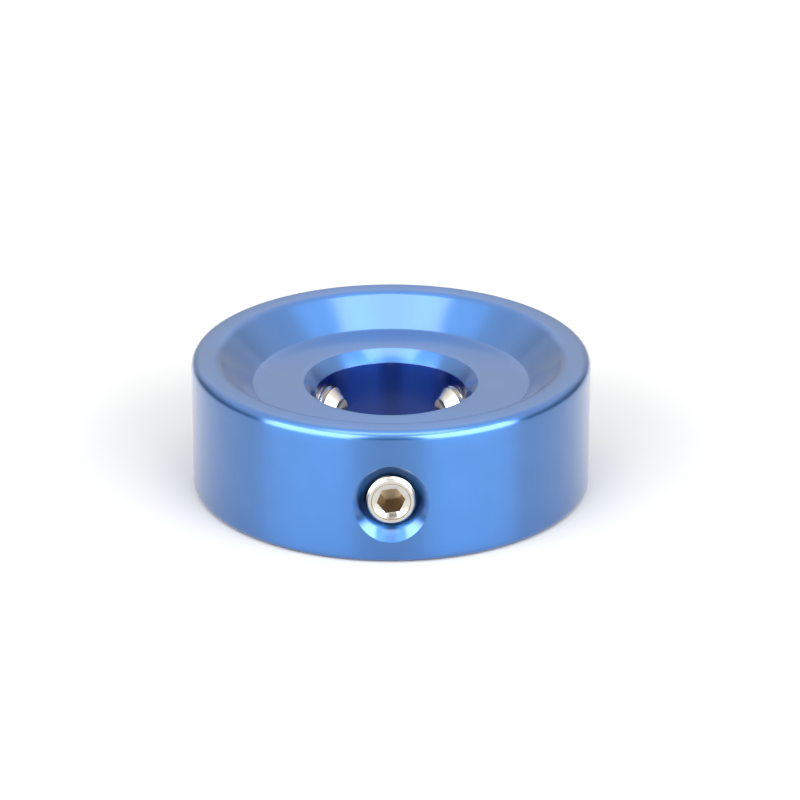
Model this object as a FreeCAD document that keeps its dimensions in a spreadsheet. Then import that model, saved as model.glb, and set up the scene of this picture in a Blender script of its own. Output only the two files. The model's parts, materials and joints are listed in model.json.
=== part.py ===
import FreeCAD, Part
import os

import Sketcher

# Footswitch topper: a turned aluminium collar that slips over the plunger of a foot-operated
# push switch and is held there by three socket set screws at 120 degrees.
# Frame: +Z up, origin at the middle of the underside, one screw facing -Y.

doc = FreeCAD.newDocument("footswitch_topper")
sheet = doc.addObject("Spreadsheet::Sheet", "Sizes")

SIZES = (
    ("collar_radius", 12.7, "outside radius of the collar, a one inch bar"),
    ("collar_height", 8.7, "underside to rim"),
    ("base_round", 0.45, "round on the lower outside edge"),
    ("rim_round", 0.58, "round on the upper outside edge"),
    ("lip_radius", 11.0, "where the flat rim turns into the dish"),
    ("lip_round", 0.9, "round between the rim and the dish"),
    ("floor_radius", 8.8, "flat floor of the dish"),
    ("floor_height", 6.86, "underside to the floor of the dish"),
    ("bore_radius", 4.82, "through bore for a 3/8 inch plunger"),
    ("bore_chamfer", 0.74, "45 degree chamfer at the top of the bore"),
    ("base_chamfer", 0.3, "45 degree chamfer at the bottom of the bore"),
    ("screw_height", 3.95, "underside to the screws' axes"),
    ("sink_radius", 2.55, "90 degree countersink, at the collar's outside radius"),
    ("thread_clearance", 0.05, "hole wall to the crests of the screw's thread"),
    ("cut_margin", 1.0, "how far a cut runs past the face it opens"),
    ("screw_step", 120.0, "angle between neighbouring screws"),
    ("front_recess", 0.42, "collar's outside to the socket end of the front screw"),
    ("back_recess", 1.0, "the same for the two screws behind it"),
    ("screw_length", 8.0, "socket end to the rim of the cup point"),
    ("thread_crest", 1.5, "M3 thread, radius over its crests"),
    ("thread_root", 1.19, "M3 thread, radius at its roots"),
    ("cup_radius", 0.8, "rim of the cup point"),
    ("cup_depth", 0.3, "depth of the cup point"),
    ("end_chamfer", 0.1, "45 degree chamfer on the socket end"),
    ("socket_flats", 1.55, "hexagon socket across its flats"),
    ("socket_depth", 2.2, "depth of the hexagon socket"),
    ("mouth_radius", 1.2, "conical mouth of the socket"),
    ("mouth_floor", 0.8, "radius where the mouth's cone ends inside the socket"),
    ("mouth_depth", 0.2, "depth of the conical mouth"),
    ("socket_turn", 8.5, "hexagon's turn away from level, in degrees"),
)
for row, (alias, value, note) in enumerate(SIZES, start=1):
    sheet.set(f"A{row}", alias)
    sheet.set(f"B{row}", str(value))
    sheet.set(f"C{row}", note)
    sheet.setAlias(f"B{row}", alias)
doc.recompute()

# Each screw's name, the angle of its axis from +X, and the dimension that says how deep it sits.
SCREWS = (
    ("front_screw", "-90", "front_recess"),
    ("right_screw", "-90 + Sizes.screw_step", "back_recess"),
    ("left_screw", "-90 - Sizes.screw_step", "back_recess"),
)

HEXAGON = 6
NEAR = 1e-4  # mm, two edges this close are the same edge


def size(alias):
    """A driving dimension as a plain number."""
    return float(sheet.get(alias))


def origin_plane(body, role):
    """One of a body's own origin planes."""
    return next(f for f in body.Origin.OriginFeatures if f.Role == role)


def new_sketch(body, name, role="XZ_Plane"):
    """A sketch on one of the body's origin planes."""
    sketch = body.newObject("Sketcher::SketchObject", name)
    sketch.AttachmentSupport = [(origin_plane(body, role), "")]
    sketch.MapMode = "FlatFace"
    return sketch


def vector(point):
    return FreeCAD.Vector(point[0], point[1], 0)


def outline(sketch, points):
    """Closed outline whose corners are held by named distances from the two axes.

    Each corner is (name, x, y, x expression, y expression)."""
    count = len(points)
    for i in range(count):
        start, end = vector(points[i][1:3]), vector(points[(i + 1) % count][1:3])
        sketch.addGeometry(Part.LineSegment(start, end), False)
    for i in range(count):
        sketch.addConstraint(Sketcher.Constraint("Coincident", i, 2, (i + 1) % count, 1))
    for i, (name, x, y, x_rule, y_rule) in enumerate(points):
        for axis, kind, value, rule in (("x", "DistanceX", x, x_rule), ("y", "DistanceY", y, y_rule)):
            index = sketch.addConstraint(Sketcher.Constraint(kind, -1, 1, i, 1, value))
            label = f"{name}_{axis}"
            sketch.renameConstraint(index, label)
            sketch.setExpression(f"Constraints.{label}", rule)


def corner(name, x_rule, y_rule):
    """A corner of an outline from two expressions on the sheet."""
    return name, evaluate(x_rule), evaluate(y_rule), x_rule, y_rule


def evaluate(rule):
    """The present value of an expression on the sheet, in mm."""
    value = sheet.evalExpression(rule.replace("Sizes.", ""))
    return float(getattr(value, "Value", value))


def revolved(body, kind, name, sketch, axis):
    """A full turn of a sketch about one of its own axes."""
    feature = body.newObject(f"PartDesign::{kind}", name)
    feature.Profile = sketch
    feature.ReferenceAxis = (sketch, [axis])
    feature.Angle = 360
    sketch.Visibility = False
    return feature


def make_collar():
    """The turned collar: a ring with a dished top, a chamfered bore and three tapped, countersunk holes."""
    body = doc.addObject("PartDesign::Body", "Collar")
    body.Label = "collar"
    section = new_sketch(body, "CollarSection")
    outline(section, (
        corner("bore_bottom", "Sizes.bore_radius + Sizes.base_chamfer", "0"),
        corner("base_edge", "Sizes.collar_radius", "0"),
        corner("rim_edge", "Sizes.collar_radius", "Sizes.collar_height"),
        corner("lip", "Sizes.lip_radius", "Sizes.collar_height"),
        corner("floor_edge", "Sizes.floor_radius", "Sizes.floor_height"),
        corner("chamfer_top", "Sizes.bore_radius + Sizes.bore_chamfer", "Sizes.floor_height"),
        corner("bore_top", "Sizes.bore_radius", "Sizes.floor_height - Sizes.bore_chamfer"),
        corner("bore_foot", "Sizes.bore_radius", "Sizes.base_chamfer"),
    ))
    ring = revolved(body, "Revolution", "CollarRing", section, "V_Axis")
    doc.recompute()
    rim = rounded(body, ring, "RimRound", "rim_round", size("collar_radius"), size("collar_height"))
    lip = rounded(body, rim, "LipRound", "lip_round", size("lip_radius"), size("collar_height"))
    rounded(body, lip, "BaseRound", "base_round", size("collar_radius"), 0)
    doc.recompute()
    screw_holes(body)
    return body


def circle_edge(feature, radius, height):
    """Name of the circular edge of a turned shape at this radius and height."""
    for i, edge in enumerate(feature.Shape.Edges, start=1):
        curve = edge.Curve
        if curve.TypeId != "Part::GeomCircle":
            continue
        if abs(curve.Radius - radius) < NEAR and abs(curve.Center.z - height) < NEAR:
            return f"Edge{i}"
    raise ValueError(f"no circular edge at radius {radius}, height {height}")


def rounded(body, base, name, alias, radius, height):
    """A fillet on one circular edge of a turned shape."""
    fillet = body.newObject("PartDesign::Fillet", name)
    fillet.Base = (base, [circle_edge(base, radius, height)])
    fillet.setExpression("Radius", f"Sizes.{alias}")
    doc.recompute()
    return fillet


def screw_holes(body):
    """Three radial holes through the wall, each with a countersunk mouth, made once and patterned."""
    section = new_sketch(body, "HoleSection", "YZ_Plane")
    outer = "-(Sizes.collar_radius + Sizes.cut_margin)"
    inner = "-(Sizes.bore_radius - Sizes.cut_margin)"
    wall = "Sizes.screw_height + Sizes.thread_crest + Sizes.thread_clearance"
    sink_depth = "(Sizes.sink_radius - Sizes.thread_crest - Sizes.thread_clearance)"
    outline(section, (
        corner("mouth_axis", outer, "Sizes.screw_height"),
        corner("mouth_edge", outer, "Sizes.screw_height + Sizes.sink_radius + Sizes.cut_margin"),
        corner("sink_foot", f"-(Sizes.collar_radius - {sink_depth})", wall),
        corner("inner_edge", inner, wall),
        corner("inner_axis", inner, "Sizes.screw_height"),
    ))
    level = size("screw_height")
    line = Part.LineSegment(FreeCAD.Vector(0, level, 0), FreeCAD.Vector(1, level, 0))
    axis_line = section.addGeometry(line, True)
    section.addConstraint(Sketcher.Constraint("Horizontal", axis_line))
    section.addConstraint(Sketcher.Constraint("PointOnObject", axis_line, 1, -2))
    section.addConstraint(Sketcher.Constraint("PointOnObject", 0, 1, axis_line))
    hole = revolved(body, "Groove", "ScrewHole", section, "Axis0")
    doc.recompute()
    pattern = body.newObject("PartDesign::PolarPattern", "ScrewHoles")
    pattern.Originals = [hole]
    pattern.Axis = (origin_plane(body, "Z_Axis"), [""])
    pattern.Angle = 360
    pattern.Occurrences = len(SCREWS)
    body.Tip = pattern


def make_point(name, angle, recess):
    """The cup point of one set screw, ahead of its thread: a short cone with a hollow end."""
    body = doc.addObject("PartDesign::Body", f"{name}_point")
    body.Label = f"{name}_point"
    section = new_sketch(body, f"{name}_point_section")
    outline(section, (
        corner("cup_floor", "0", "Sizes.cup_depth"),
        corner("cup_rim", "Sizes.cup_radius", "0"),
        corner("thread_start", "Sizes.thread_root", "Sizes.thread_root - Sizes.cup_radius"),
        corner("axis_end", "0", "Sizes.thread_root - Sizes.cup_radius"),
    ))
    revolved(body, "Revolution", f"{name}_cone", section, "V_Axis")
    place_screw(body, angle, recess)
    return body


def make_shank(name, angle, recess):
    """The threaded shank of one set screw, with a hexagon socket in its outer end."""
    body = doc.addObject("PartDesign::Body", f"{name}_shank")
    body.Label = f"{name}_shank"
    section = new_sketch(body, f"{name}_shank_section")
    outline(section, (
        corner("front_axis", "0", "Sizes.thread_root - Sizes.cup_radius"),
        corner("front_edge", "Sizes.thread_root", "Sizes.thread_root - Sizes.cup_radius"),
        corner("cone_end", "Sizes.thread_crest", "Sizes.thread_crest - Sizes.cup_radius"),
        corner("chamfer_foot", "Sizes.thread_crest", "Sizes.screw_length - Sizes.end_chamfer"),
        corner("end_edge", "Sizes.thread_crest - Sizes.end_chamfer", "Sizes.screw_length"),
        corner("mouth_edge", "Sizes.mouth_radius", "Sizes.screw_length"),
        corner("mouth_foot", "Sizes.mouth_floor", "Sizes.screw_length - Sizes.mouth_depth"),
        corner("mouth_axis", "0", "Sizes.screw_length - Sizes.mouth_depth"),
    ))
    revolved(body, "Revolution", f"{name}_rod", section, "V_Axis")
    doc.recompute()
    hexagon = new_sketch(body, f"{name}_hexagon", "XY_Plane")
    hexagon.setExpression("AttachmentOffset.Base.z", "Sizes.screw_length")
    outline(hexagon, [hexagon_corner(k) for k in range(HEXAGON)])
    socket = body.newObject("PartDesign::Pocket", f"{name}_socket")
    socket.Profile = hexagon
    socket.setExpression("Length", "Sizes.socket_depth")
    hexagon.Visibility = False
    place_screw(body, angle, recess)
    return body


def hexagon_corner(number):
    """One corner of the socket. Local Y is level and local X points down once the screw is placed."""
    reach = "Sizes.socket_flats / sqrt(3)"
    turn = f"(Sizes.socket_turn + {90 + 360 // HEXAGON * number}) * 1 deg"
    return corner(f"corner{number}", f"{reach} * cos({turn})", f"{reach} * sin({turn})")


def place_screw(body, angle, recess):
    """Lay a screw along a radius, its socket end this far inside the collar's outside."""
    turn = f"({angle})"
    reach = f"(Sizes.collar_radius - Sizes.{recess} - Sizes.screw_length)"
    degrees = evaluate(turn)
    radial = FreeCAD.Rotation(FreeCAD.Vector(0, 0, 1), degrees)
    lie_down = FreeCAD.Rotation(FreeCAD.Vector(0, 1, 0), 90)
    body.Placement = FreeCAD.Placement(FreeCAD.Vector(), radial.multiply(lie_down))
    body.setExpression("Placement.Base.x", f"{reach} * cos({turn} * 1 deg)")
    body.setExpression("Placement.Base.y", f"{reach} * sin({turn} * 1 deg)")
    body.setExpression("Placement.Base.z", "Sizes.screw_height")


def check_document():
    """Stop if any object failed or any piece has no sound solid."""
    for item in doc.Objects:
        if "Invalid" in item.State or "Error" in item.State:
            raise RuntimeError(f"{item.Name} is {item.State}")
    for piece in pieces:
        if piece.Shape.isNull() or not piece.Shape.isValid() or len(piece.Shape.Solids) != 1:
            raise RuntimeError(f"{piece.Label} is not one sound solid")


pieces = [make_collar()]
for screw_name, screw_angle, screw_recess in SCREWS:
    pieces.append(make_point(screw_name, screw_angle, screw_recess))
    pieces.append(make_shank(screw_name, screw_angle, screw_recess))
doc.recompute()
check_document()

os.makedirs("parts", exist_ok=True)
for piece in pieces:
    piece.Shape.exportStep(f"parts/{piece.Label}.step")
    box = piece.Shape.BoundBox
    print(f"{piece.Label}: {piece.Shape.Volume:.3f} mm3, {box.XMin:.2f} to {box.XMax:.2f},"
          f" {box.YMin:.2f} to {box.YMax:.2f}, {box.ZMin:.2f} to {box.ZMax:.2f}")
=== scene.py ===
import json
import math

import bpy
from bpy.props import FloatProperty, FloatVectorProperty, IntProperty, PointerProperty
from mathutils import Matrix, Vector


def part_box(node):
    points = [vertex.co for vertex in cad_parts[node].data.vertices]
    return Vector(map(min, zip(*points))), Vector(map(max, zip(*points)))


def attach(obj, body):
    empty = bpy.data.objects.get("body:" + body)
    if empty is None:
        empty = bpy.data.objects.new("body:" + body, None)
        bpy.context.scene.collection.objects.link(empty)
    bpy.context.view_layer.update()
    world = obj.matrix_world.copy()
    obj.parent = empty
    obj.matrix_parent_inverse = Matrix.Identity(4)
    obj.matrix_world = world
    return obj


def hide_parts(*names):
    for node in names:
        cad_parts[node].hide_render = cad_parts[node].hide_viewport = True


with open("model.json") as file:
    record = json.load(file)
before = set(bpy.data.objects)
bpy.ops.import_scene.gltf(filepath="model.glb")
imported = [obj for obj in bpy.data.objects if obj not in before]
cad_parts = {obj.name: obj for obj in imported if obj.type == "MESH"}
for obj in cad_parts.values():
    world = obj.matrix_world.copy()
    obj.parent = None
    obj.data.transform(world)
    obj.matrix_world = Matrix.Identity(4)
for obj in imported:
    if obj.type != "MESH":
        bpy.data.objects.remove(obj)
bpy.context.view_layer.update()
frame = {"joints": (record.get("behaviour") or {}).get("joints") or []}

bl_info = {
    "name": "Footswitch Topper",
    "version": (1, 0, 0),
    "blender": (4, 5, 0),
    "location": "View3D > Sidebar > Topper",
    "description": "Builds a dished footswitch topper with its set screws, and a small studio for it",
    "category": "Object",
}

MM = 0.001
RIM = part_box("collar")[1]
JOINTS = {joint["name"]: joint for joint in frame["joints"]}
SCREWS = [name[:-len("_turn")] for name in JOINTS if name.endswith("_turn")]
SMOOTH_ANGLE = math.radians(28)
THREAD_FLANK = math.tan(math.radians(30))  # a 60 degree thread
EDGE_ROUND = 0.03 * MM  # small round left on a cut edge
HAIR = 0.02 * MM
RIDGE_FOOT = 0.1 * MM  # how deep a thread's ridge is rooted in the solid it joins or cuts
BORE_SHADE_SKIN = 0.03 * MM  # how far outside the bore's radius the bore's painted shade reaches
# The dull steel inside the sockets is nearer to a screw's axis than SOCKET_REACH, and lies
# between the other two distances from the collar's axis.
SOCKET_REACH = 0.92 * MM
SOCKET_INNER = 6 * MM
SOCKET_OUTER = 12.03 * MM
MERGE = 2e-7  # m, two points this close are one point


def length(name, description, default):
    """A distance that the user can change, in metres."""
    return FloatProperty(name=name, description=description, default=default, min=0, precision=6,
                         unit="LENGTH", subtype="DISTANCE")


def colour(name, description, default):
    """A colour that the user can change."""
    return FloatVectorProperty(name=name, description=description, default=default, size=4,
                               min=0, max=1, subtype="COLOR")


class CollarSettings(bpy.types.PropertyGroup):
    radius: length("Radius", "Outside radius", RIM.x)
    height: length("Height", "Underside to rim", RIM.z)
    base_round: length("Base round", "Round on the lower outside edge", 0.45 * MM)
    rim_round: length("Rim round", "Round on the upper outside edge", 0.58 * MM)
    lip_radius: length("Lip radius", "Where the flat rim turns into the dish", 11.0 * MM)
    lip_round: length("Lip round", "Round between the rim and the dish", 0.9 * MM)
    floor_radius: length("Floor radius", "Flat floor of the dish", 8.8 * MM)
    floor_height: length("Floor height", "Underside to the floor of the dish", 6.86 * MM)
    bore_radius: length("Bore radius", "Hole for the switch's plunger", 4.82 * MM)
    bore_chamfer: length("Bore chamfer", "45 degree chamfer at the top of the bore", 0.74 * MM)
    base_chamfer: length("Base chamfer", "45 degree chamfer at the bottom of the bore", 0.3 * MM)
    edge_break: length("Edge break", "Small round on every turned edge", 0.05 * MM)
    sink_radius: length("Countersink radius", "90 degree countersink, at the wall's outside", 2.55 * MM)
    step_radius: length("Step radius", "Shallow step inside the countersink", 1.75 * MM)
    step_depth: length("Step depth", "Depth of that step", 0.12 * MM)
    segments: IntProperty(name="Segments", description="Steps round the collar", default=288, min=32)


class ScrewSettings(bpy.types.PropertyGroup):
    length: length("Length", "Cup rim to socket end", 8.0 * MM)
    pitch: length("Pitch", "Advance in one turn", 0.5 * MM)
    crest: length("Crest radius", "Thread over its crests", 1.5 * MM)
    crest_width: length("Crest width", "Flat on top of the thread", 0.13 * MM)
    root: length("Root radius", "Thread at its roots", 1.2 * MM)
    cup_radius: length("Cup radius", "Rim of the cup point", 0.8 * MM)
    cup_depth: length("Cup depth", "Depth of the cup point", 0.3 * MM)
    point_radius: length("Point radius", "Where the cone of the point meets the thread", 1.19 * MM)
    end_chamfer: length("End chamfer", "45 degree chamfer on the socket end", 0.1 * MM)
    land: length("Land", "Plain length behind the socket end, where the thread stops", 0.11 * MM)
    socket_flats: length("Socket", "Hexagon across its flats", 1.55 * MM)
    socket_depth: length("Socket depth", "Depth of the hexagon", 2.2 * MM)
    socket_turn: FloatProperty(name="Socket turn", description="Turn of the hexagon away from level",
                               default=math.radians(8.5), subtype="ANGLE", unit="ROTATION")
    mouth_radius: length("Mouth radius", "Conical mouth of the socket", 1.2 * MM)
    mouth_floor: length("Mouth floor", "Radius where the cone ends inside the socket", 0.8 * MM)
    mouth_depth: length("Mouth depth", "Depth of the conical mouth", 0.2 * MM)
    hole_crest: length("Hole radius", "Tapped hole over the crests of its thread", 1.27 * MM)
    hole_root: length("Hole root radius", "Tapped hole at the roots of its thread", 1.55 * MM)
    flank_gap: length("Flank gap", "Play between the threads, along the axis", 0.03 * MM)
    segments: IntProperty(name="Segments", description="Steps in one turn", default=72, min=16)


class FinishSettings(bpy.types.PropertyGroup):
    anodised: colour("Anodised", "Colour of the dyed aluminium", (0.034, 0.168, 0.48, 1))
    # Painted shade: the bore colour is a darker blue that stands in for the shade inside the bore, not a
    # different dye.
    bore: colour("Bore", "Colour of the aluminium inside the bore", (0.02, 0.07, 0.36, 1))
    socket: colour("Socket", "Colour of the steel inside the sockets", (0.42, 0.34, 0.24, 1))
    steel: colour("Steel", "Colour of the screws", (0.68, 0.64, 0.57, 1))
    paper: colour("Paper", "Colour of the floor", (0.475, 0.475, 0.475, 1))


# ---- shaping -------------------------------------------------------------------------------------


def clear_selection():
    """Nothing selected and no mesh open, so that an operator acts only on what it makes."""
    if bpy.context.object and bpy.context.object.mode != "OBJECT":
        bpy.ops.object.mode_set(mode="OBJECT")
    bpy.ops.object.select_all(action="DESELECT")


def activate(piece, *others):
    """piece is active and selected, with the others selected too."""
    clear_selection()
    for one in (piece, *others):
        one.select_set(True)
    bpy.context.view_layer.objects.active = piece


def rounded_outline(corners, longest):
    """Points of a closed outline in (radius, height). Each corner is (radius, height, round, steps).

    A rounded corner becomes an arc, and a straight longer than longest is divided."""
    rounded = []
    for i, (x, y, bend, steps) in enumerate(corners):
        here = Vector((x, y))
        if bend <= 0:
            rounded.append(here)
            continue
        before = (Vector(corners[i - 1][:2]) - here).normalized()
        after = (Vector(corners[(i + 1) % len(corners)][:2]) - here).normalized()
        half = before.angle(after) / 2
        centre = here + (before + after).normalized() * bend / math.sin(half)
        first = here + before * bend / math.tan(half) - centre
        sweep = first.angle_signed(here + after * bend / math.tan(half) - centre)
        for step in range(steps + 1):
            turned = Matrix.Rotation(-sweep * step / steps, 2) @ first
            rounded.append(centre + turned)
    points = []
    for here, there in zip(rounded, rounded[1:] + rounded[:1]):
        count = max(1, math.ceil((there - here).length / longest))
        points += [here.lerp(there, k / count) for k in range(count)]
    return points


def draw_outline(name, points, closed=True):
    """A chain of edges in the XZ plane, drawn from one vertex by extruding it from point to point."""
    clear_selection()
    bpy.ops.mesh.primitive_plane_add(size=MM)
    piece = bpy.context.object
    piece.name = name
    bpy.ops.object.mode_set(mode="EDIT")
    bpy.ops.mesh.select_all(action="SELECT")
    bpy.ops.mesh.merge(type="CENTER")
    here = points[0]
    bpy.ops.transform.translate(value=(here[0], 0, here[1]))
    chain = list(points[1:]) + ([points[0]] if closed else [])
    for there in chain:
        step = (there[0] - here[0], 0, there[1] - here[1])
        bpy.ops.mesh.extrude_region_move(TRANSFORM_OT_translate={"value": step})
        here = there
    bpy.ops.mesh.select_all(action="SELECT")
    bpy.ops.mesh.remove_doubles(threshold=MERGE)
    return piece


def close_mesh():
    """Merge the seam and the poles, and turn every face outwards."""
    bpy.ops.mesh.select_all(action="SELECT")
    bpy.ops.mesh.remove_doubles(threshold=MERGE)
    bpy.ops.mesh.normals_make_consistent(inside=False)
    bpy.ops.object.mode_set(mode="OBJECT")


def turned(name, points, segments):
    """A solid of revolution about Z from its half outline, as cut on a lathe."""
    piece = draw_outline(name, points)
    bpy.ops.mesh.select_all(action="SELECT")
    bpy.ops.mesh.spin(steps=segments, angle=math.tau, center=(0, 0, 0), axis=(0, 0, 1))
    close_mesh()
    return piece


def helical_ridge(name, inner, outer, inner_half, outer_half, start, turns, pitch, segments):
    """A closed right-hand ridge about Z whose section is a trapezium centred on its start height."""
    section = [(inner, start - inner_half), (outer, start - outer_half),
               (outer, start + outer_half), (inner, start + inner_half)]
    piece = draw_outline(name, section)
    bpy.ops.object.mode_set(mode="OBJECT")
    sweep = piece.modifiers.new("Sweep", "SCREW")
    sweep.axis = "Z"
    sweep.angle = math.tau
    sweep.screw_offset = pitch
    sweep.iterations = turns
    sweep.steps = sweep.render_steps = segments
    sweep.use_merge_vertices = False
    activate(piece)
    bpy.ops.object.modifier_apply(modifier=sweep.name)
    bpy.ops.object.mode_set(mode="EDIT")
    bpy.ops.mesh.select_mode(type="EDGE")
    bpy.ops.mesh.select_all(action="DESELECT")
    bpy.ops.mesh.select_non_manifold()
    bpy.ops.mesh.edge_face_add()
    bpy.ops.mesh.select_mode(type="VERT")
    close_mesh()
    return piece


def combine(piece, tool, operation):
    """Cut, join or keep the common part of two closed solids, and use the tool up."""
    change = piece.modifiers.new("Combine", "BOOLEAN")
    change.operation = operation
    change.object = tool
    change.solver = "EXACT"
    activate(piece)
    bpy.ops.object.modifier_apply(modifier=change.name)
    bpy.data.objects.remove(tool, do_unlink=True)


def joined(pieces):
    """Several solids as one object."""
    activate(*pieces)
    bpy.ops.object.join()
    return pieces[0]


def duplicate(piece):
    """A copy with a mesh of its own."""
    activate(piece)
    bpy.ops.object.duplicate()
    return bpy.context.object


def smooth(piece):
    """Smooth shading with sharp edges kept."""
    activate(piece)
    bpy.ops.object.shade_smooth_by_angle(angle=SMOOTH_ANGLE)


def lay_along(piece, screw, start):
    """Put a solid drawn about +Z on a screw's axis: +Z outwards and +X down, its zero at start
    from the collar's axis."""
    outward = -Vector(JOINTS[f"{screw}_turn"]["axis"])
    down = Vector((0, 0, -1))
    place = Matrix((down, outward.cross(down), outward)).transposed().to_4x4()
    height = JOINTS[f"{screw}_turn"]["pos_m"][2]
    place.translation = outward * start + Vector((0, 0, height))
    piece.matrix_world = place
    activate(piece)
    bpy.ops.object.transform_apply(location=True, rotation=True, scale=True)


def screw_tip(screw):
    """How far the rim of a screw's cup point is from the collar's axis."""
    return Vector(JOINTS[f"{screw}_turn"]["pos_m"][:2]).length


# ---- finishes ------------------------------------------------------------------------------------


class Finish:
    """A material and the few nodes that every finish here starts with."""

    def __init__(self, name):
        self.material = bpy.data.materials.new(name)
        self.material.use_nodes = True
        self.nodes = self.material.node_tree.nodes
        self.links = self.material.node_tree.links
        self.shader = self.nodes["Principled BSDF"]
        self.place = self.add("ShaderNodeTexCoord").outputs["Object"]

    def add(self, kind, **settings):
        node = self.nodes.new(kind)
        for key, value in settings.items():
            setattr(node, key, value)
        return node

    def link(self, source, target):
        self.links.new(source, target)

    def set(self, **values):
        """Numbers and colours that are the same all over, on the shader's own sockets."""
        for name, value in values.items():
            self.shader.inputs[name.replace("_", " ")].default_value = value

    def maths(self, operation, first, second=None, clamp=False):
        node = self.add("ShaderNodeMath", operation=operation, use_clamp=clamp)
        for socket, value in zip(node.inputs, (first, second)):
            if value is None:
                continue
            if isinstance(value, (int, float)):
                socket.default_value = value
            else:
                self.link(value, socket)
        return node.outputs[0]

    def from_axis(self):
        """Distance from the collar's axis, and the split coordinates."""
        split = self.add("ShaderNodeSeparateXYZ")
        self.link(self.place, split.inputs[0])
        return self.longer(split.outputs["X"], split.outputs["Y"]), split

    def from_screw_axis(self):
        """Distance from the nearest screw's axis, the screws being evenly spaced round the collar."""
        radius, split = self.from_axis()
        forwards = self.maths("MULTIPLY", split.outputs["Y"], -1)
        angle = self.maths("ARCTAN2", split.outputs["X"], forwards)
        step = math.tau / len(SCREWS)
        whole = self.maths("SNAP", self.maths("ADD", angle, step / 2), step)
        nearest = self.maths("SUBTRACT", angle, whole)
        aside = self.maths("MULTIPLY", radius, self.maths("SINE", nearest))
        height = JOINTS[f"{SCREWS[0]}_turn"]["pos_m"][2]
        return self.longer(aside, self.maths("SUBTRACT", split.outputs["Z"], height))

    def longer(self, first, second):
        """The hypotenuse of two lengths."""
        squares = [self.maths("MULTIPLY", side, side) for side in (first, second)]
        return self.maths("SQRT", self.maths("ADD", *squares))

    def noise(self, grain, detail=2.0, vector=None):
        """Noise whose features are about grain metres across."""
        node = self.add("ShaderNodeTexNoise")
        self.link(vector or self.place, node.inputs["Vector"])
        node.inputs["Scale"].default_value = 1 / grain
        node.inputs["Detail"].default_value = detail
        return node.outputs["Fac"]

    def between(self, factor, low, high):
        """A number that runs from low to high as factor runs from 0 to 1."""
        node = self.add("ShaderNodeMapRange")
        self.link(factor, node.inputs["Value"])
        node.inputs["To Min"].default_value = low
        node.inputs["To Max"].default_value = high
        return node.outputs["Result"]

    def mixed(self, factor, first, second):
        node = self.add("ShaderNodeMix", data_type="RGBA")
        self.link(factor, node.inputs["Factor"])
        for socket, value in ((node.inputs["A"], first), (node.inputs["B"], second)):
            if isinstance(value, tuple):
                socket.default_value = value
            else:
                self.link(value, socket)
        return node.outputs["Result"]

    def bump(self, height, depth, strength, below=None):
        """Relief from a height of 0 to 1, depth metres deep."""
        node = self.add("ShaderNodeBump")
        node.inputs["Strength"].default_value = strength
        node.inputs["Distance"].default_value = depth
        self.link(height, node.inputs["Height"])
        if below:
            self.link(below, node.inputs["Normal"])
        return node.outputs["Normal"]


def anodised_aluminium(finish, bore_radius):
    """Blue dyed aluminium under a thin clear oxide. Its turning marks run round the axis and spread
    the shine across them, and the darker colour inside the bore is painted shade."""
    f = Finish("anodised_aluminium")
    f.set(Metallic=1.0, Anisotropic=0.9, Anisotropic_Rotation=0.25,
          Coat_Weight=1.0, Coat_Roughness=0.15, Coat_IOR=1.65)
    tangent = f.add("ShaderNodeTangent", direction_type="RADIAL", axis="Z")
    f.link(tangent.outputs[0], f.shader.inputs["Tangent"])
    radius, split = f.from_axis()
    along = f.maths("ADD", radius, split.outputs["Z"])
    line = f.add("ShaderNodeCombineXYZ")
    f.link(along, line.inputs["X"])
    marks = f.noise(0.04 * MM, 3.0, line.outputs[0])
    cloud = f.noise(2.5 * MM, 3.0)
    grain = f.noise(0.06 * MM, 2.0)
    deep = tuple(c * 0.86 for c in finish.anodised[:3]) + (1,)
    outside = f.mixed(cloud, deep, tuple(finish.anodised))
    # Painted shade: within the bore's radius the colour turns to the darker bore colour.
    bore_shade_mask = f.maths("LESS_THAN", radius, bore_radius + BORE_SHADE_SKIN)
    f.link(f.mixed(bore_shade_mask, outside, tuple(finish.bore)), f.shader.inputs["Base Color"])
    both = f.maths("ADD", f.maths("MULTIPLY", marks, 0.4), f.maths("MULTIPLY", grain, 0.6))
    f.link(f.between(both, 0.22, 0.38), f.shader.inputs["Roughness"])
    relief = f.bump(marks, 0.001 * MM, 0.2)
    f.link(f.bump(grain, 0.004 * MM, 0.6, relief), f.shader.inputs["Normal"])
    return f.material


def screw_steel(finish):
    """Plain stainless steel with drawn and cut marks, duller and browner inside the sockets."""
    f = Finish("screw_steel")
    f.set(Metallic=1.0)
    marks = f.noise(0.05 * MM, 3.0)
    cloud = f.noise(0.6 * MM, 2.0)
    warm = tuple(c * 0.82 for c in finish.steel[:3]) + (1,)
    polished = f.mixed(cloud, warm, tuple(finish.steel))
    radius = f.from_axis()[0]
    near_axis = f.maths("LESS_THAN", f.from_screw_axis(), SOCKET_REACH)
    past_points = f.maths("GREATER_THAN", radius, SOCKET_INNER)
    socket = f.maths("MULTIPLY", near_axis, past_points)
    socket = f.maths("MULTIPLY", socket, f.maths("LESS_THAN", radius, SOCKET_OUTER))
    f.link(f.mixed(socket, polished, tuple(finish.socket)), f.shader.inputs["Base Color"])
    f.link(f.maths("ADD", f.between(marks, 0.14, 0.3), f.maths("MULTIPLY", socket, 0.1)),
           f.shader.inputs["Roughness"])
    f.link(f.bump(marks, 0.003 * MM, 0.4), f.shader.inputs["Normal"])
    return f.material


def paper_floor(finish):
    """Matt pale paper."""
    f = Finish("paper_floor")
    f.set(Roughness=0.9)
    fibre = f.noise(0.8 * MM, 3.0)
    shade = tuple(c * 0.99 for c in finish.paper[:3]) + (1,)
    f.link(f.mixed(fibre, shade, tuple(finish.paper)), f.shader.inputs["Base Color"])
    return f.material


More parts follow.
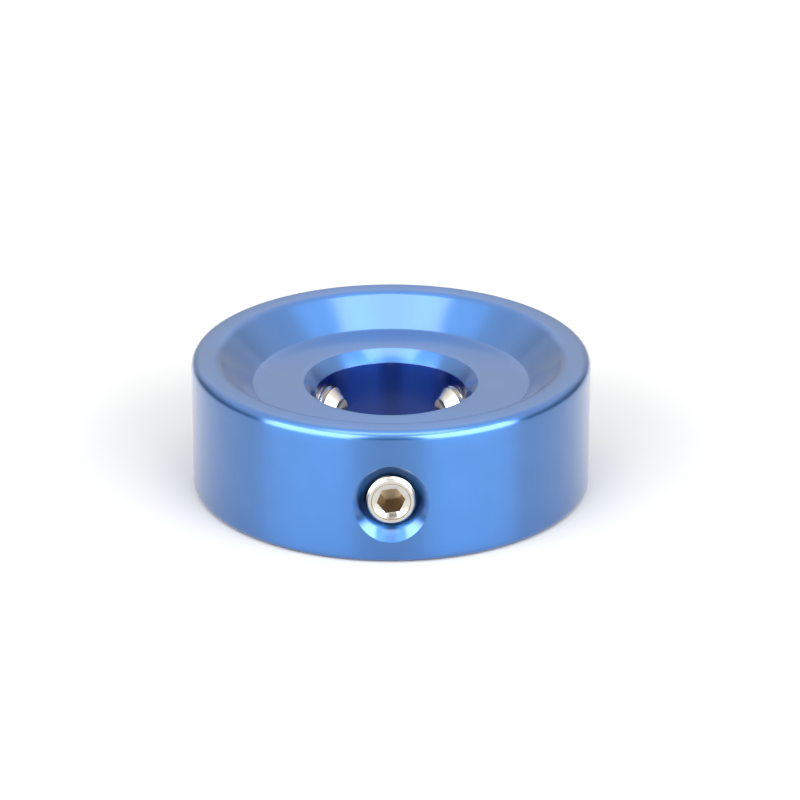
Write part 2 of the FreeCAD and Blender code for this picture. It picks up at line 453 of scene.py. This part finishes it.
def finish_piece(piece, material, slot_name, body, *nodes):
    """Give a finished piece its material, its place in the frame and the nodes it stands for."""
    smooth(piece)
    piece.data.materials.clear()
    piece.data.materials.append(material)
    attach(piece, body)
    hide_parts(*nodes)


# ---- pieces --------------------------------------------------------------------------------------


def collar_blank(c):
    """The collar as it leaves the lathe."""
    edge = c.edge_break
    floor, bore = c.floor_height, c.bore_radius
    corners = (
        (bore + c.base_chamfer, 0, edge, 3),
        (c.radius, 0, c.base_round, 8),
        (c.radius, c.height, c.rim_round, 8),
        (c.lip_radius, c.height, c.lip_round, 10),
        (c.floor_radius, floor, 3 * edge, 4),
        (bore + c.bore_chamfer, floor, edge, 3),
        (bore, floor - c.bore_chamfer, edge, 3),
        (bore, c.base_chamfer, edge, 3),
    )
    return turned("collar_turned", rounded_outline(corners, 0.6 * MM), c.segments)


def hole_drill(c, s):
    """What the drill and the countersink remove, on +Z outwards with zero on the collar's axis."""
    margin = MM
    sink_foot = c.radius - (c.sink_radius - c.step_radius)
    step_foot = sink_foot - c.step_depth
    corners = (
        (0, c.bore_radius - margin, 0, 1),
        (s.hole_crest, c.bore_radius - margin, 0, 1),
        (s.hole_crest, step_foot - (c.step_radius - s.hole_crest), 0, 1),
        (c.step_radius, step_foot, 0, 1),
        (c.step_radius, sink_foot, EDGE_ROUND, 3),
        (c.sink_radius + margin, c.radius + margin, 0, 1),
        (0, c.radius + margin, 0, 1),
    )
    return turned("hole_drill", rounded_outline(corners, c.radius), 2 * s.segments)


def ridge_half(s, radius):
    """Half the width of the screw's thread at a radius."""
    return s.crest_width / 2 + (s.crest - radius) * THREAD_FLANK


def hole_tap(c, s):
    """The helical groove that the tap cuts. Its turns fall on whole pitches from the collar's axis."""
    inner = s.hole_crest - RIDGE_FOOT
    start = math.floor((c.bore_radius - MM) / s.pitch) * s.pitch
    turns = math.ceil((c.radius - 0.5 * MM - start) / s.pitch)
    inner_half = ridge_half(s, inner) + s.flank_gap
    outer_half = ridge_half(s, s.hole_root) + s.flank_gap * 1.6
    return helical_ridge("hole_tap", inner, s.hole_root, inner_half, outer_half,
                         start, turns, s.pitch, s.segments)


def screw_blank(s):
    """The outline a screw's shank is cut to: the cone of its point, its length and its socket end."""
    outside = s.crest + 0.12 * MM
    foot = s.point_radius - s.cup_radius
    end_radius = s.crest - s.end_chamfer
    groove = 0.04 * MM
    corners = (
        (0, foot, 0, 1),
        (s.point_radius, foot, 0, 1),
        (outside, foot + outside - s.point_radius, 0, 1),
        (outside, s.length - (outside - end_radius), 0, 1),
        (end_radius, s.length, EDGE_ROUND, 3),
        (s.mouth_radius + groove, s.length, 0, 1),
        (s.mouth_radius, s.length - 2 * groove, 0, 1),
        (s.mouth_radius - groove, s.length - groove, 0, 1),
        (s.mouth_floor, s.length - s.mouth_depth, 0, 1),
        (0, s.length - s.mouth_depth, 0, 1),
    )
    return turned("screw_blank", rounded_outline(corners, s.length), 2 * s.segments)


def hexagon_key(s):
    """The hexagon that shapes the socket."""
    reach = s.socket_flats / math.sqrt(3)
    top = s.length + 0.5 * MM
    bottom = s.length - s.socket_depth
    clear_selection()
    bpy.ops.mesh.primitive_cylinder_add(vertices=6, radius=reach, depth=top - bottom,
                                        location=(0, 0, (top + bottom) / 2),
                                        rotation=(0, 0, s.socket_turn))
    key = bpy.context.object
    key.name = "hexagon_key"
    bpy.ops.object.transform_apply(location=True, rotation=True, scale=True)
    return key


def socket_drill(s):
    """The drilled start of the socket, which ends in a cone below the hexagon."""
    radius = s.socket_flats / 2 - HAIR
    bottom = s.length - s.socket_depth
    corners = (
        (0, bottom - radius / 2, 0, 1),
        (radius, bottom, 0, 1),
        (radius, s.length - s.mouth_depth, 0, 1),
        (0, s.length - s.mouth_depth, 0, 1),
    )
    return turned("socket_drill", rounded_outline(corners, s.length), s.segments)


def cut_shank(screw, s):
    """A set screw's threaded shank, in step with its tapped hole."""
    start = -math.fmod(screw_tip(screw), s.pitch) - s.pitch
    turns = math.ceil((s.length - start) / s.pitch) + 1
    inner = s.root - RIDGE_FOOT
    beyond = s.length + 2 * MM
    land, land_foot = s.crest - HAIR, s.length - s.land
    thread_end = land_foot - (land - s.root) / 2
    rod = ((0, -MM), (s.root, -MM), (s.root, thread_end), (land, land_foot), (land, beyond), (0, beyond))
    core = turned(f"{screw}_shank_cut", [Vector(point) for point in rod], 2 * s.segments)
    ridge = helical_ridge("thread", inner, s.crest, ridge_half(s, inner), ridge_half(s, s.crest),
                          start, turns, s.pitch, s.segments)
    combine(core, ridge, "UNION")
    combine(core, screw_blank(s), "INTERSECT")
    combine(core, hexagon_key(s), "DIFFERENCE")
    combine(core, socket_drill(s), "DIFFERENCE")
    return core


def cut_point(screw, s):
    """A set screw's cup point."""
    back = s.point_radius - s.cup_radius
    corners = (
        (0, s.cup_depth, 0, 1),
        (s.cup_radius - EDGE_ROUND, HAIR, HAIR, 3),
        (s.cup_radius + HAIR / 2, 0, HAIR, 3),
        (s.point_radius, back, 0, 1),
        (0, back, 0, 1),
    )
    return turned(f"{screw}_point_cut", rounded_outline(corners, 0.2 * MM), s.segments)


class TOPPER_OT_collar(bpy.types.Operator):
    """Turn the dished collar, drill and tap its three screw holes, and dye it"""

    bl_idname = "topper.collar"
    bl_label = "Collar"

    def execute(self, context):
        c, s = context.scene.topper_collar, context.scene.topper_screw
        collar = collar_blank(c)
        for make in (hole_drill, hole_tap):
            first = make(c, s)
            tools = [first] + [duplicate(first) for _ in SCREWS[1:]]
            for tool, screw in zip(tools, SCREWS):
                lay_along(tool, screw, 0)
            combine(collar, joined(tools), "DIFFERENCE")
        metal = anodised_aluminium(context.scene.topper_finish, c.bore_radius)
        finish_piece(collar, metal, "anodised_aluminium", "collar", "collar")
        return {"FINISHED"}


class TOPPER_OT_screws(bpy.types.Operator):
    """Cut the three socket set screws: a threaded shank and a cup point each"""

    bl_idname = "topper.screws"
    bl_label = "Set Screws"

    def execute(self, context):
        s = context.scene.topper_screw
        steel = screw_steel(context.scene.topper_finish)
        for screw in SCREWS:
            shank = cut_shank(screw, s)
            point = cut_point(screw, s)
            for part, node in ((shank, f"{screw}_shank"), (point, f"{screw}_point")):
                lay_along(part, screw, screw_tip(screw))
                finish_piece(part, steel, "screw_steel", node, node)
        return {"FINISHED"}


# ---- studio --------------------------------------------------------------------------------------


class StageSettings(bpy.types.PropertyGroup):
    elevation: FloatProperty(name="Elevation", description="Camera's angle above the horizon",
                             default=math.radians(23.2), subtype="ANGLE", unit="ROTATION")
    distance: length("Distance", "Camera to the middle of the collar", 254 * MM)
    reach: length("Reach", "Width of the view at the collar", 51.22 * MM)
    shift: FloatVectorProperty(name="Shift", description="Shift of the view, in view widths", size=2,
                               default=(0.0112, 0.02125), precision=4)


def soft_box(name, target, bearing, rise, away, width, height, brightness):
    """A rectangular soft box aimed at target.

    bearing is its angle in degrees from the front towards +X, and rise its angle above the floor."""
    bearing, rise = math.radians(bearing), math.radians(rise)
    level = math.cos(rise)
    aside = Vector((math.sin(bearing) * level, -math.cos(bearing) * level, math.sin(rise)))
    clear_selection()
    bpy.ops.object.light_add(type="AREA", location=Vector(target) + aside * away)
    lamp = bpy.context.object
    lamp.name = name
    lamp.rotation_euler = (math.pi / 2 - rise, 0, bearing)
    lamp.data.shape = "RECTANGLE"
    lamp.data.size = width
    lamp.data.size_y = height
    lamp.data.energy = 4 * width * height * brightness


def sky(scene):
    """A pale tent: dim towards the horizon, brighter overhead."""
    world = bpy.data.worlds.new("tent")
    scene.world = world
    world.use_nodes = True
    nodes, links = world.node_tree.nodes, world.node_tree.links
    split = nodes.new("ShaderNodeSeparateXYZ")
    links.new(nodes.new("ShaderNodeTexCoord").outputs["Generated"], split.inputs[0])
    ramp = nodes.new("ShaderNodeValToRGB")
    links.new(split.outputs["Z"], ramp.inputs["Fac"])
    shades = ((0.0, 0.2), (0.3, 0.3), (0.6, 1.25), (1.0, 1.25))
    while len(ramp.color_ramp.elements) < len(shades):
        ramp.color_ramp.elements.new(0.5)
    for stop, (where, shade) in zip(ramp.color_ramp.elements, shades):
        stop.position = where
        stop.color = (shade, shade, shade, 1)
    links.new(ramp.outputs["Color"], nodes["Background"].inputs["Color"])


class TOPPER_OT_stage(bpy.types.Operator):
    """Lay the white floor and set the lights and the camera"""

    bl_idname = "topper.stage"
    bl_label = "Studio"

    def execute(self, context):
        scene, stage = context.scene, context.scene.topper_stage
        middle = Vector((0, 0, RIM.z / 2))
        clear_selection()
        bpy.ops.mesh.primitive_plane_add(size=6, location=(0, 0, 0))
        floor = bpy.context.object
        floor.name = "floor"
        floor.data.materials.append(paper_floor(scene.topper_finish))
        back = Vector((0, -math.cos(stage.elevation), math.sin(stage.elevation)))
        clear_selection()
        bpy.ops.object.camera_add(location=middle + back * stage.distance)
        camera = bpy.context.object
        camera.rotation_euler = (math.pi / 2 - stage.elevation, 0, 0)
        camera.data.lens = camera.data.sensor_width * stage.distance / stage.reach
        camera.data.clip_start = 0.01
        camera.data.shift_x, camera.data.shift_y = stage.shift
        scene.camera = camera
        scene.view_settings.view_transform = "Standard"
        sky(scene)
        soft_box("top_box", middle, bearing=0, rise=80, away=0.5,
                 width=0.40, height=0.22, brightness=2.3)
        soft_box("left_box", middle, bearing=-47, rise=25, away=0.6,
                 width=0.61, height=0.56, brightness=3.9)
        soft_box("right_box", middle, bearing=46, rise=25, away=0.6,
                 width=0.61, height=0.56, brightness=4.2)
        soft_box("back_box", middle, bearing=180, rise=18, away=1.0,
                 width=1.6, height=0.5, brightness=0.3)
        return {"FINISHED"}


class TOPPER_PT_panel(bpy.types.Panel):
    """Buttons that build the topper"""

    bl_idname = "TOPPER_PT_panel"
    bl_label = "Footswitch Topper"
    bl_space_type = "VIEW_3D"
    bl_region_type = "UI"
    bl_category = "Topper"

    def draw(self, context):
        for operator in (TOPPER_OT_collar, TOPPER_OT_screws, TOPPER_OT_stage):
            self.layout.operator(operator.bl_idname)


SETTINGS = (
    ("topper_collar", CollarSettings),
    ("topper_screw", ScrewSettings),
    ("topper_finish", FinishSettings),
    ("topper_stage", StageSettings),
)
CLASSES = tuple(group for _, group in SETTINGS) + (
    TOPPER_OT_collar, TOPPER_OT_screws, TOPPER_OT_stage, TOPPER_PT_panel)


def register():
    for item in CLASSES:
        bpy.utils.register_class(item)
    for name, group in SETTINGS:
        setattr(bpy.types.Scene, name, PointerProperty(type=group))


def unregister():
    for name, _ in SETTINGS:
        delattr(bpy.types.Scene, name)
    for item in reversed(CLASSES):
        bpy.utils.unregister_class(item)


def main():
    register()
    bpy.ops.topper.collar()
    bpy.ops.topper.screws()
    bpy.ops.topper.stage()


if __name__ == "__main__":
    main()
